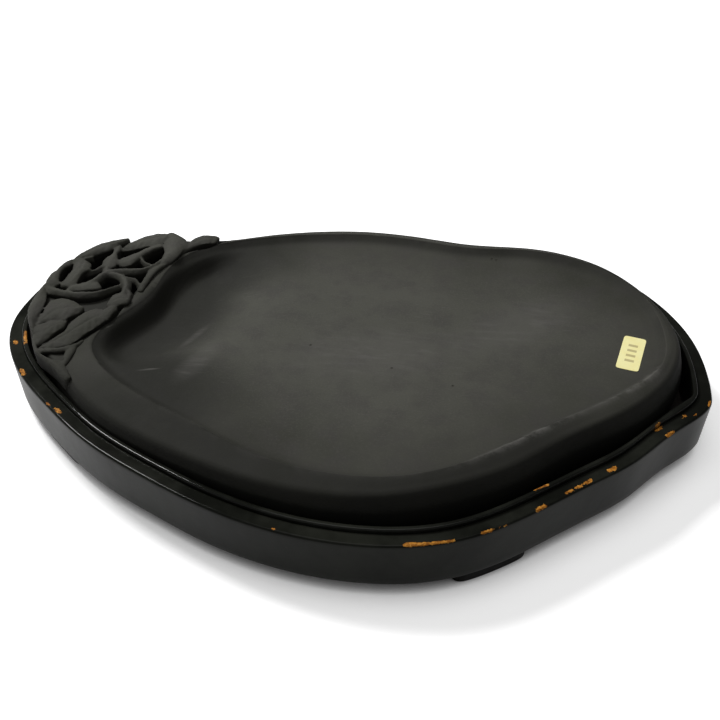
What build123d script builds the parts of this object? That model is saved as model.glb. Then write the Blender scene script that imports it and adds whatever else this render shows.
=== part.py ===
"""Natural-form ink stone with carved foliage, lying in its lacquered wooden tray.

Millimetres, +Z up. The origin is under the middle of the tray, on the surface that it stands on.
The stone's size is chosen first, and the tray is worked out from it, as a tray maker does.
"""

import math
import os

from build123d import *

# Stone: its largest outline, its thickness and its dish
stone_length = 234.0
stone_width = 156.0
stone_thickness = 22.0
girdle_height = 7.0
underside_inset = 3.0
side_flare = 3.4
shoulder_radius = 2.8
dish_depth = 2.4
dish_wall_run = 3.2
pool_depth = 6.2

# Carved foliage at the stone's left end
field_depth = 3.0
leaf_rise = 2.6
leaf_edge_rise = 0.8
leaf_length = 30.0
hollow_depth = 9.0
stem_width = 3.0
stem_rise = 1.6

# Tray
stone_clearance = 1.0
liner_thickness = 1.7
ledge_width = 4.8
wall_height = 17.5
wall_taper = 1.0
edge_chamfer = 0.6
tip_blunting = 2.6
lip_rise = 1.5
lip_chamfer = 0.5
board_thickness = 4.5
rebate_depth = 1.2
glue_line = 0.1

# Feet and the pegs that hold them
foot_height = 5.0
foot_length = 26.0
foot_depth = 9.0
foot_inset = 1.6
foot_end_round = 3.0
peg_radius = 1.6
peg_spacing = 13.0
peg_embed = 3.0
peg_recess = 0.5
peg_fit = 0.02

# Blank paper label on the dish
label_length = 20.0
label_width = 8.0
label_thickness = 0.15
label_corner_radius = 1.6
label_turn = 77.0

cut_overrun = 1.0

# Each outline below is a list of places around the piece, seen from above and taken counter-clockwise
# from its right end, as shares of the half length and half width named beside it.

# Stone's top edge, of the stone's half sizes, and how much of side_flare the girdle stands out there
rim_outline_share = [
    (0.978, 0.227, 0.65), (0.957, 0.385, 0.70), (0.876, 0.628, 0.70), (0.741, 0.827, 0.65),
    (0.542, 0.921, 0.60), (0.342, 0.919, 0.60), (0.164, 0.956, 0.60), (0.000, 0.974, 0.60),
    (-0.188, 0.941, 0.60), (-0.386, 0.846, 0.55), (-0.538, 0.769, 0.45), (-0.701, 0.750, 0.40),
    (-0.846, 0.660, 0.35), (-0.944, 0.474, 0.30), (-0.993, 0.231, 0.25), (-0.985, 0.013, 0.25),
    (-0.910, -0.186, 0.25), (-0.786, -0.385, 0.15), (-0.668, -0.554, 0.15), (-0.415, -0.768, 0.35),
    (-0.179, -0.900, 0.55), (0.020, -0.953, 0.75), (0.188, -0.935, 1.00), (0.344, -0.851, 1.00),
    (0.497, -0.718, 1.00), (0.638, -0.522, 1.00), (0.788, -0.341, 1.00), (0.914, -0.122, 0.90),
]
# Inner edge of the stone's rim, of the stone's half sizes
dish_outline_share = [
    (0.943, 0.192), (0.923, 0.423), (0.846, 0.658), (0.722, 0.801), (0.530, 0.878), (0.342, 0.862),
    (0.167, 0.900), (0.000, 0.918), (-0.188, 0.888), (-0.380, 0.805), (-0.513, 0.718), (-0.603, 0.596),
    (-0.644, 0.410), (-0.652, 0.244), (-0.692, 0.090), (-0.744, -0.083), (-0.747, -0.179),
    (-0.691, -0.321), (-0.579, -0.459), (-0.357, -0.641), (-0.150, -0.806), (0.031, -0.871),
    (0.188, -0.865), (0.362, -0.765), (0.546, -0.549), (0.707, -0.353), (0.850, -0.158), (0.923, 0.000),
]
# Ink pool under the carving, of the stone's half sizes: where it would reach the stone's top, and its bed
pool_mouth_share = [
    (-0.188, 0.231), (-0.222, 0.513), (-0.308, 0.705), (-0.427, 0.744), (-0.530, 0.673), (-0.598, 0.564),
    (-0.632, 0.397), (-0.641, 0.244), (-0.679, 0.083), (-0.731, -0.087), (-0.731, -0.179),
    (-0.675, -0.295), (-0.581, -0.333), (-0.427, -0.256), (-0.274, -0.051),
]
pool_bed_share = [
    (-0.444, 0.282), (-0.453, 0.462), (-0.487, 0.571), (-0.521, 0.596), (-0.556, 0.558), (-0.581, 0.487),
    (-0.598, 0.385), (-0.611, 0.244), (-0.645, 0.064), (-0.688, -0.083), (-0.684, -0.141),
    (-0.650, -0.186), (-0.598, -0.167), (-0.530, -0.026), (-0.470, 0.128),
]
# Field that the foliage is cut into, of the stone's half sizes
field_outline_share = [
    (-0.660, 0.560), (-0.600, 0.690), (-0.720, 0.700), (-0.835, 0.590), (-0.920, 0.430), (-0.965, 0.230),
    (-0.955, 0.020), (-0.885, -0.160), (-0.800, -0.290), (-0.775, -0.200), (-0.775, -0.050),
    (-0.725, 0.110), (-0.690, 0.260), (-0.680, 0.420),
]
# Leaves: place of the middle, of the stone's half sizes, then length and width of leaf_length, then turn
leaf_places_share = [
    (-0.893, 0.463, 1.15, 0.36, 58), (-0.735, 0.620, 0.72, 0.36, 38), (-0.600, 0.705, 0.50, 0.23, 30),
    (-0.955, 0.040, 0.85, 0.25, 93), (-0.865, -0.015, 0.92, 0.40, 72), (-0.795, -0.060, 1.00, 0.33, 52),
    (-0.800, -0.255, 0.42, 0.22, 60), (-0.732, 0.085, 0.34, 0.20, 60), (-0.665, 0.500, 0.50, 0.20, 60),
]
# Stems between the leaves: runs of places of the stone's half sizes
stem_places_share = [
    [(-0.960, 0.170), (-0.880, 0.180), (-0.790, 0.210), (-0.735, 0.160)],
    [(-0.855, 0.255), (-0.805, 0.365), (-0.745, 0.380), (-0.690, 0.455), (-0.670, 0.560)],
    [(-0.805, 0.350), (-0.760, 0.300), (-0.735, 0.160)],
]
# Deep hollows of the openwork: place, of the stone's half sizes, length and width of leaf_length, turn
hollow_places_share = [
    (-0.915, 0.325, 0.20, 0.12, 60), (-0.862, 0.350, 0.20, 0.13, 60), (-0.815, 0.285, 0.22, 0.13, 30),
    (-0.706, 0.290, 0.16, 0.12, 60), (-0.778, 0.480, 0.36, 0.12, 45), (-0.850, 0.130, 0.62, 0.12, 5),
    (-0.835, 0.570, 0.30, 0.09, 40), (-0.850, -0.245, 0.16, 0.07, 10),
]
# Mouth of the tray's recess, of the recess's half sizes; its first place is the sharp corner at the right
recess_outline_share = [
    (1.006, -0.082), (1.009, 0.127), (0.985, 0.354), (0.873, 0.677), (0.676, 0.906), (0.432, 0.967),
    (0.174, 1.005), (-0.081, 1.015), (-0.403, 0.900), (-0.732, 0.787), (-0.919, 0.633), (-1.005, 0.334),
    (-1.010, 0.057), (-0.914, -0.223), (-0.776, -0.430), (-0.625, -0.616), (-0.442, -0.775),
    (-0.257, -0.905), (-0.068, -0.992), (0.136, -1.019), (0.347, -0.957), (0.542, -0.767),
    (0.668, -0.608), (0.785, -0.457), (0.898, -0.257),
]
# Feet: place of the middle, of the recess's half sizes, and turn
foot_places_share = {
    "foot_front_right": (0.447, -0.841, 33),
    "foot_front_left": (-0.775, -0.416, -43),
    "foot_back_left": (-0.737, 0.785, 17),
    "foot_back_right": (0.678, 0.908, -26),
}
# Middle of the label, of the stone's half sizes
label_place_share = (0.841, 0.094)

# Sizes worked out from the ones above
stone_half_length = stone_length / 2
stone_half_width = stone_width / 2
recess_half_length = stone_half_length + stone_clearance
recess_half_width = stone_half_width + stone_clearance
board_top = foot_height + board_thickness
ledge_top = foot_height + wall_height
lip_top = ledge_top + lip_rise
stone_top = board_top + stone_thickness
dish_floor = stone_top - dish_depth
pool_floor = dish_floor - pool_depth
field_floor = stone_top - field_depth
leaf_top = stone_top + leaf_rise


def place(share, half_length=stone_half_length, half_width=stone_half_width):
    """Turn shares of a half length and a half width into a place in millimetres."""
    return Vector(share[0] * half_length, share[1] * half_width)


def grown(points, amounts):
    """Move each place of a counter-clockwise outline outwards, square to it, by its own amount."""
    moved = []
    for index, point in enumerate(points):
        before = (point - points[index - 1]).normalized()
        after = (points[(index + 1) % len(points)] - point).normalized()
        outwards = (before + after).normalized().rotate(Axis.Z, -90)
        half_turn = math.radians(before.get_angle(after)) / 2
        moved.append(point + outwards * (amounts[index] / math.cos(half_turn)))
    return moved


def grown_evenly(points, amount):
    """Move a whole outline outwards by one amount, or inwards where it is negative."""
    return grown(points, [amount] * len(points))


def blunted(points, distance):
    """Swap an outline's first place, its corner, for two places that far along each side of it."""
    corner = points[0]
    before = corner + (points[-1] - corner).normalized() * distance
    after = corner + (points[1] - corner).normalized() * distance
    return [after, *points[1:], before]


def smooth_face(points):
    """Fill a closed smooth outline in the sketch being built."""
    with BuildLine() as outline:
        Spline(*points, periodic=True)
    make_face(outline.edges())


def cornered_face(points, mode=Mode.ADD):
    """Fill an outline that is smooth but for one corner, at its first place."""
    with BuildLine() as outline:
        Spline(*points, points[0])
    make_face(outline.edges(), mode=mode)


def leaf_face(length, width):
    """Fill a pointed leaf that lies along the sketch's X axis."""
    with BuildLine() as outline:
        ThreePointArc((-length / 2, 0), (0, -width / 2), (length / 2, 0))
        ThreePointArc((length / 2, 0), (0, width / 2), (-length / 2, 0))
    make_face(outline.edges())


def turned_plane(spot, level, turn):
    """Give the level plane at a place whose X axis is turned by an angle."""
    return Plane(origin=(spot.X, spot.Y, level), z_dir=(0, 0, 1)).rotated((0, 0, turn))


rim_outline = [place(share) for share in rim_outline_share]
girdle_outline = grown(rim_outline, [share[2] * side_flare for share in rim_outline_share])
dish_outline = [place(share) for share in dish_outline_share]
recess_outline = [place(share, recess_half_length, recess_half_width) for share in recess_outline_share]
liner_outline = grown_evenly(recess_outline, liner_thickness)
wall_inner_outline = grown_evenly(recess_outline, liner_thickness + glue_line)
rebate_outline = grown_evenly(wall_inner_outline, rebate_depth)
wall_top_outline = grown_evenly(recess_outline, liner_thickness + ledge_width)
wall_foot_outline = grown_evenly(wall_top_outline, -wall_taper)

# Ink stone: one block of slate, its sides swelling to a girdle, its top hollowed into a shallow dish
with BuildPart() as ink_stone:
    with BuildSketch(Plane.XY.offset(board_top)):
        smooth_face(grown_evenly(girdle_outline, -underside_inset))
    with BuildSketch(Plane.XY.offset(board_top + girdle_height)):
        smooth_face(girdle_outline)
    with BuildSketch(Plane.XY.offset(stone_top)):
        smooth_face(rim_outline)
    loft()
    top_edge = ink_stone.edges().group_by(Axis.Z)[-1]
    fillet(top_edge, shoulder_radius)

    # The dish, with a short sloping wall inside the rim
    wall_slope = dish_wall_run / dish_depth
    with BuildSketch(Plane.XY.offset(dish_floor)):
        smooth_face(grown_evenly(dish_outline, -dish_wall_run))
    with BuildSketch(Plane.XY.offset(stone_top + cut_overrun)):
        smooth_face(grown_evenly(dish_outline, cut_overrun * wall_slope))
    loft(mode=Mode.SUBTRACT)

    # The ink pool, deepest under the carving and running out into the dish
    with BuildSketch(Plane.XY.offset(pool_floor)):
        smooth_face([place(share) for share in pool_bed_share])
    with BuildSketch(Plane.XY.offset(stone_top)):
        smooth_face([place(share) for share in pool_mouth_share])
    loft(mode=Mode.SUBTRACT)

    # The sunk field, and the leaves and stems left standing in it
    with BuildSketch(Plane.XY.offset(field_floor)):
        smooth_face([place(share) for share in field_outline_share])
    extrude(amount=field_depth + cut_overrun, mode=Mode.SUBTRACT)
    for run in stem_places_share:
        with BuildSketch(Plane.XY.offset(field_floor)):
            with BuildLine():
                Polyline(*[place(share) for share in run])
            trace(line_width=stem_width)
        extrude(amount=field_depth + stem_rise)
    for x_share, y_share, length_share, width_share, turn in leaf_places_share:
        spot = place((x_share, y_share))
        length = length_share * leaf_length
        width = width_share * leaf_length
        with BuildSketch(turned_plane(spot, field_floor, turn)):
            leaf_face(length, width)
        extrude(amount=field_depth + leaf_edge_rise)
        with BuildSketch(turned_plane(spot, stone_top + leaf_edge_rise, turn)):
            leaf_face(length, width)
        with BuildSketch(turned_plane(spot, leaf_top, turn)):
            leaf_face(length / 2, width / 4)
        loft()

    # The dark hollows between them
    for x_share, y_share, length_share, width_share, turn in hollow_places_share:
        with BuildSketch(turned_plane(place((x_share, y_share)), leaf_top, turn)):
            Ellipse(length_share * leaf_length / 2, width_share * leaf_length / 2)
        extrude(amount=-hollow_depth, mode=Mode.SUBTRACT)

# Paper label: a blank slip with rounded corners, pasted on the dish
with BuildPart() as paper_label:
    with BuildSketch(turned_plane(place(label_place_share), dish_floor, label_turn)):
        RectangleRounded(label_length, label_width, label_corner_radius)
    extrude(amount=label_thickness)

# Wall ring: leans out slightly to its flat ledge, and is rebated underneath for the floor board
wall_levels = [
    (foot_height, wall_foot_outline),
    (ledge_top - edge_chamfer, wall_top_outline),
    (ledge_top, grown_evenly(wall_top_outline, -edge_chamfer)),
]
with BuildPart() as wall_ring:
    for level, outline in wall_levels:
        with BuildSketch(Plane.XY.offset(level)):
            smooth_face(blunted(outline, tip_blunting))
    loft(ruled=True)
    with BuildSketch(Plane.XY.offset(foot_height)):
        smooth_face(blunted(wall_inner_outline, tip_blunting))
    extrude(amount=wall_height, mode=Mode.SUBTRACT)
    with BuildSketch(Plane.XY.offset(foot_height)):
        smooth_face(blunted(rebate_outline, tip_blunting))
    extrude(amount=board_thickness, mode=Mode.SUBTRACT)

# Lip liner: thin strip glued inside the wall, standing proud of the ledge to locate a lid
with BuildPart() as lip_liner:
    with BuildSketch(Plane.XY.offset(board_top)):
        smooth_face(blunted(liner_outline, tip_blunting))
    extrude(amount=lip_top - board_top)
    chamfer(lip_liner.edges().group_by(Axis.Z)[-1], lip_chamfer)
    with BuildSketch(Plane.XY.offset(board_top)):
        cornered_face(recess_outline)
    extrude(amount=lip_top - board_top, mode=Mode.SUBTRACT)

# Floor board: let into the wall's rebate from below, flush with the wall's foot
with BuildPart() as floor_board:
    with BuildSketch(Plane.XY.offset(foot_height)):
        smooth_face(blunted(grown_evenly(rebate_outline, -glue_line), tip_blunting))
    extrude(amount=board_thickness)

# Feet: short blocks that follow the wall, each pegged up into the floor board
foot_outer_outline = grown_evenly(wall_foot_outline, -foot_inset)
foot_inner_outline = grown_evenly(foot_outer_outline, -foot_depth)
peg_spots = []
feet = {}
for name, (x_share, y_share, turn) in foot_places_share.items():
    spot = place((x_share, y_share), recess_half_length, recess_half_width)
    along = Vector(peg_spacing / 2, 0).rotate(Axis.Z, turn)
    foot_pegs_here = [spot - along, spot + along]
    peg_spots += foot_pegs_here
    with BuildPart() as foot:
        with BuildSketch() as foot_plan:
            cornered_face(foot_outer_outline)
            cornered_face(foot_inner_outline, mode=Mode.SUBTRACT)
            with Locations(Location((spot.X, spot.Y, 0), (0, 0, turn))):
                Rectangle(foot_length, 3 * foot_depth, mode=Mode.INTERSECT)
            fillet(foot_plan.vertices(), foot_end_round)
        extrude(amount=foot_height)
        with Locations([(peg.X, peg.Y, foot_height) for peg in foot_pegs_here]):
            Hole(peg_radius + peg_fit)
    feet[name] = foot.part

# Pegs: bamboo pins through the feet, driven blind into the floor board
with BuildPart() as foot_pegs:
    with Locations([(peg.X, peg.Y, peg_recess) for peg in peg_spots]):
        Cylinder(
            peg_radius,
            foot_height + peg_embed - peg_recess,
            align=(Align.CENTER, Align.CENTER, Align.MIN),
        )
with floor_board:
    with Locations([(peg.X, peg.Y, foot_height) for peg in peg_spots]):
        Cylinder(
            peg_radius + peg_fit,
            peg_embed,
            align=(Align.CENTER, Align.CENTER, Align.MIN),
            mode=Mode.SUBTRACT,
        )

pieces = {
    "ink_stone": ink_stone.part,
    "paper_label": paper_label.part,
    "wall_ring": wall_ring.part,
    "lip_liner": lip_liner.part,
    "floor_board": floor_board.part,
    "foot_pegs": foot_pegs.part,
    **feet,
}
os.makedirs("parts", exist_ok=True)
for name, piece in pieces.items():
    piece.label = name
    export_step(piece, f"parts/{name}.step")
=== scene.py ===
import math

import bmesh
import bpy
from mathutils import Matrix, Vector, noise
from mathutils.bvhtree import BVHTree
from mathutils.kdtree import KDTree


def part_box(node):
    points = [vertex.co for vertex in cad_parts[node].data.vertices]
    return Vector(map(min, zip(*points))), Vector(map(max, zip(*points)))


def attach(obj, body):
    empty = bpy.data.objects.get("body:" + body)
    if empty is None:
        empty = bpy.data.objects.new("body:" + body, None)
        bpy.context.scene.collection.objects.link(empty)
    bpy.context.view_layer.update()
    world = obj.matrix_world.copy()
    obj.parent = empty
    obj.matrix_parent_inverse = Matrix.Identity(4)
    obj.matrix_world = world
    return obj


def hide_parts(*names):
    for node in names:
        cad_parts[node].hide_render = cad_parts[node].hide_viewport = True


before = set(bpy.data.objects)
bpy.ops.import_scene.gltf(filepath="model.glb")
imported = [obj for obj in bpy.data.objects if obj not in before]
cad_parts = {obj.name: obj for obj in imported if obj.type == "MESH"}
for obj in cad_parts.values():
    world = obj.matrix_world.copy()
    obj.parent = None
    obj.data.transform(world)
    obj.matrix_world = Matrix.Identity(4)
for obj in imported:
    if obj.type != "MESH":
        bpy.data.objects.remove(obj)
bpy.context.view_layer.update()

mm = 0.001

# Ink stone
# One block of dark slate in a natural outline: its underside is flat, its sides swell a little, and its
# top is ground to a shallow dish that runs down into a deeper ink pool at the left.
places_round = 720
block_top = 31.5 * mm
block_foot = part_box("ink_stone")[0].z
foot_rounding = 1.1 * mm
shoulder_radius = 2.8 * mm
shoulder_foot = block_top - shoulder_radius
rounding_steps = 3
side_steps = 10
shoulder_steps = 7
rim_steps = [0.2, 0.4, 0.6, 0.8, 0.93]
rim_fall = 0.8 * mm
rim_fall_bend = 1.6
fall_start = 0.4
rim_dip = 1.3 * mm
rim_dip_turn = math.radians(222)
rim_dip_spread = math.radians(48)
rim_edge_break = 0.12 * mm
dish_mouth = block_top - 0.2 * mm
dish_steps = [0.25, 0.6, 1.1, 1.7, 2.4, 3.2, 4.2, 5.6, 7.4, 9.8, 13]
dish_blend = 6 * mm
dish_evening_share = 0.46
dish_evening_most = 12 * mm
dish_hollow = 0.5 * mm
floor_steps = 24
sky = 80 * mm
# Rings of places over which the dish is evened: each one's reach, number of places and weight
evening_rings = [(0.0, 1, 1.0), (0.4, 6, 0.9), (0.7, 10, 0.6), (1.0, 12, 0.3)]
# Unevenness of handwork: each one's depth and its pitch
stone_handwork = [(0.16 * mm, 26 * mm), (0.04 * mm, 5 * mm)]


def start_alone():
    """Deselect everything, so that the next operator acts on its own piece alone."""
    if bpy.context.mode != "OBJECT":
        bpy.ops.object.mode_set(mode="OBJECT")
    bpy.ops.object.select_all(action="DESELECT")


def pick(piece):
    """Make one piece the only selected and active one."""
    start_alone()
    piece.select_set(True)
    bpy.context.view_layer.objects.active = piece


def evened(points, passes=3):
    """Average each place of a closed outline with its neighbours, which takes out the facets."""
    for _ in range(passes):
        befores = points[-1:] + points[:-1]
        afters = points[1:] + points[:1]
        points = [(before + 2 * point + after) / 4 for before, point, after in zip(befores, points, afters)]
    return points


def quarter_turn(steps):
    """Give the angles from 0 to a right angle in equal steps."""
    return [math.radians(90 * step / steps) for step in range(steps + 1)]


def surface_of(piece):
    """Make the search tree of a piece's surface."""
    return BVHTree.FromObject(piece, bpy.context.evaluated_depsgraph_get())


def direction(share):
    """Give the level direction at a share of a whole turn."""
    turn = math.tau * share
    return Vector((math.cos(turn), math.sin(turn), 0))


def outline_at(surface, level, from_inside=False, about=Vector((0, 0, 0)), places=places_round):
    """Measure an outline at one level, by looking at the surface from a middle or from far outside."""
    middle = Vector((about.x, about.y, level))
    far = 1.0
    points = []
    for place in range(places):
        outwards = direction(place / places)
        if from_inside:
            points.append(surface.ray_cast(middle, outwards)[0])
        else:
            points.append(surface.ray_cast(middle + outwards * far, -outwards)[0])
    return evened(points)


def inset(points, distance, rise=0.0):
    """Move each place of a counter-clockwise outline inwards, square to it, and up."""
    befores = points[-1:] + points[:-1]
    afters = points[1:] + points[:1]
    moved = []
    for before, point, after in zip(befores, points, afters):
        along = (after - before).normalized()
        moved.append(point + Vector((-along.y, along.x, 0)) * distance + Vector((0, 0, rise)))
    return moved


def at_level(points, level):
    """Lay an outline flat at a level."""
    return [Vector((point.x, point.y, level)) for point in points]


def between(first, second, share):
    """Give the outline that lies a share of the way from one outline to another."""
    return [a.lerp(b, share) for a, b in zip(first, second)]


def lowered(points, falls, share=1.0):
    """Lower each place of an outline by its own fall."""
    return [point - Vector((0, 0, fall * share)) for point, fall in zip(points, falls)]


def smooth_share(value):
    """Ease a share in and out, and hold it between 0 and 1."""
    value = min(max(value, 0.0), 1.0)
    return value * value * (3 - 2 * value)


def extruded_loops(name, loops, filled=True):
    """Draw a circle, lay it on the first outline and extrude it through all the others."""
    start_alone()
    bpy.ops.mesh.primitive_circle_add(vertices=len(loops[0]), fill_type="NGON" if filled else "NOTHING")
    piece = bpy.context.object
    piece.name = piece.data.name = name
    bpy.ops.object.mode_set(mode="EDIT")
    mesh = bmesh.from_edit_mesh(piece.data)
    place_layer = mesh.verts.layers.int.new("place")
    for vertex in mesh.verts:
        turn = math.atan2(vertex.co.y, vertex.co.x) / math.tau
        vertex[place_layer] = round(turn * len(loops[0])) % len(loops[0])
    for index, loop in enumerate(loops):
        if index:
            bpy.ops.mesh.extrude_region_move()
            mesh = bmesh.from_edit_mesh(piece.data)
            place_layer = mesh.verts.layers.int["place"]
        for vertex in mesh.verts:
            if vertex.select:
                vertex.co = loop[vertex[place_layer]]
        bmesh.update_edit_mesh(piece.data)
    face_outwards()
    return piece


def face_outwards():
    """Merge doubles, turn every face of the piece being edited outwards and leave edit mode."""
    bpy.ops.mesh.select_all(action="SELECT")
    bpy.ops.mesh.remove_doubles(threshold=0.001 * mm)
    bpy.ops.mesh.normals_make_consistent(inside=False)
    bpy.ops.object.mode_set(mode="OBJECT")


def hand_worked(piece, handwork):
    """Make a surface as uneven as handwork: each point moves along its normal by a smooth noise."""
    for depth, pitch in handwork:
        moves = [vertex.normal * depth * noise.noise(vertex.co / pitch) for vertex in piece.data.vertices]
        for vertex, move in zip(piece.data.vertices, moves):
            vertex.co += move
        piece.data.update()


def shade(piece, crease):
    """Shade a piece smooth, but for edges sharper than an angle in degrees."""
    pick(piece)
    bpy.ops.object.shade_smooth_by_angle(angle=math.radians(crease))


stone_surface = surface_of(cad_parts["ink_stone"])
shoulder = outline_at(stone_surface, shoulder_foot)
dish_edge = outline_at(stone_surface, dish_mouth, from_inside=True)
rim_dips = []
for place in range(places_round):
    away = (math.tau * place / places_round - rim_dip_turn) / rim_dip_spread
    rim_dips.append(rim_dip * math.exp(-away * away))
outer_falls = [rim_fall + dip for dip in rim_dips]

stone_loops = []
side_foot = block_foot + foot_rounding
foot_outline = outline_at(stone_surface, side_foot)
for turn in quarter_turn(rounding_steps):
    level = block_foot + foot_rounding * (1 - math.cos(turn))
    stone_loops.append(inset(at_level(foot_outline, level), foot_rounding * (1 - math.sin(turn))))
for step in range(1, side_steps + 1):
    level = side_foot + (shoulder_foot - side_foot) * step / side_steps
    share = smooth_share((step / side_steps - fall_start) / (1 - fall_start))
    stone_loops.append(lowered(outline_at(stone_surface, level), outer_falls, share))
for turn in quarter_turn(shoulder_steps)[1:]:
    loop = inset(shoulder, shoulder_radius * (1 - math.cos(turn)), shoulder_radius * math.sin(turn))
    stone_loops.append(lowered(loop, outer_falls))
rim_outer = stone_loops[-1]
for share in rim_steps:
    loop = at_level(between(rim_outer, dish_edge, share), block_top - rim_fall * (1 - share) ** rim_fall_bend)
    stone_loops.append(lowered(loop, rim_dips))
stone_loops.append(lowered(at_level(dish_edge, block_top - rim_edge_break), rim_dips))


def dish_point(point, spread, drop):
    """Lay a point on the dish of the CAD stone, evened over the places round it, and lower it a little."""
    level = weight_sum = 0.0
    for reach, turns, weight in evening_rings:
        for turn in range(turns):
            spot = point + direction(turn / turns) * spread * reach
            above = Vector((spot.x, spot.y, sky))
            level += stone_surface.ray_cast(above, Vector((0, 0, -1)))[0].z * weight
            weight_sum += weight
    return Vector((point.x, point.y, min(level / weight_sum, block_top) - drop))


for distance in dish_steps:
    share = 1 - smooth_share(distance * mm / dish_blend)
    loop = []
    for place, point in enumerate(dish_edge):
        inner = point - direction(place / places_round) * distance * mm
        loop.append(dish_point(inner, dish_evening_share * distance * mm, share * rim_dips[place]))
    stone_loops.append(loop)
floor_edge = stone_loops[-1]
for step in range(1, floor_steps):
    share = 1 - step / floor_steps
    loop = []
    for point in floor_edge:
        away = dish_steps[-1] * mm + point.xy.length * (1 - share)
        spread = min(dish_evening_share * away, dish_evening_most)
        loop.append(dish_point(point * share, spread, dish_hollow * (1 - share**2)))
    stone_loops.append(loop)
ink_block = extruded_loops("ink_block", stone_loops)
hand_worked(ink_block, stone_handwork)


# Carved foliage
# Leaves, a branch and stems cut out of the block's left end, with undercut edges. The end is cut down a
# little first and pierced more deeply between the stems, and the foliage stands a little above the rim.
carved_level = 29.5 * mm
pierced_level = 24.8 * mm
cut_top = 40.0 * mm
foliage_foot = 24.4 * mm
foliage_voxel = 0.41 * mm
foliage_handwork = [(0.16 * mm, 2.6 * mm), (0.08 * mm, 1.0 * mm)]
stone_crease = 48
crown_shares = [0.05, 0.14, 0.28, 0.45, 0.65, 0.85, 0.97]
crown_bend = 1.7
groove_bend = 9
undercut_depth = 1.1 * mm
undercut_shares = [0.2, 0.1]
vein_steps = 60
side_vein_pitch = 3.2 * mm
side_vein_depth = 0.2 * mm
side_vein_slant = 0.8
side_vein_width = 0.14

# Edge of the smooth fringe between the dish and the foliage, then round outside the stone, in mm
carved_end = [
    (-92.3, -25.2), (-91.2, -16.9), (-87.6, -8.0), (-84.0, -2.0), (-83.0, 6.0), (-82.0, 13.0),
    (-81.0, 19.0), (-80.6, 25.5), (-79.2, 31.6), (-76.6, 38.0), (-71.0, 47.0), (-61.2, 54.6), (-56.0, 62.0),
    (-66.0, 74.0), (-96.0, 72.0), (-126.0, 44.0), (-132.0, 4.0), (-118.0, -22.0), (-99.0, -34.0),
]
# The part between the stems that is pierced deeply, inside a sound outer edge, in mm
pierced_part = [
    (-112.5, 15.5), (-109.5, 13.6), (-103.0, 12.0), (-98.0, 12.8), (-93.6, 15.4), (-90.5, 18.8),
    (-86.5, 17.0), (-83.0, 19.5), (-82.2, 26.0), (-80.0, 33.5), (-76.5, 40.5), (-74.8, 46.0),
    (-77.0, 52.0), (-82.0, 55.0), (-88.0, 53.5), (-93.5, 49.0), (-98.0, 48.5), (-103.5, 43.5),
    (-108.5, 37.5), (-112.5, 32.0), (-114.0, 25.0), (-114.0, 18.0),
]
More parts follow.
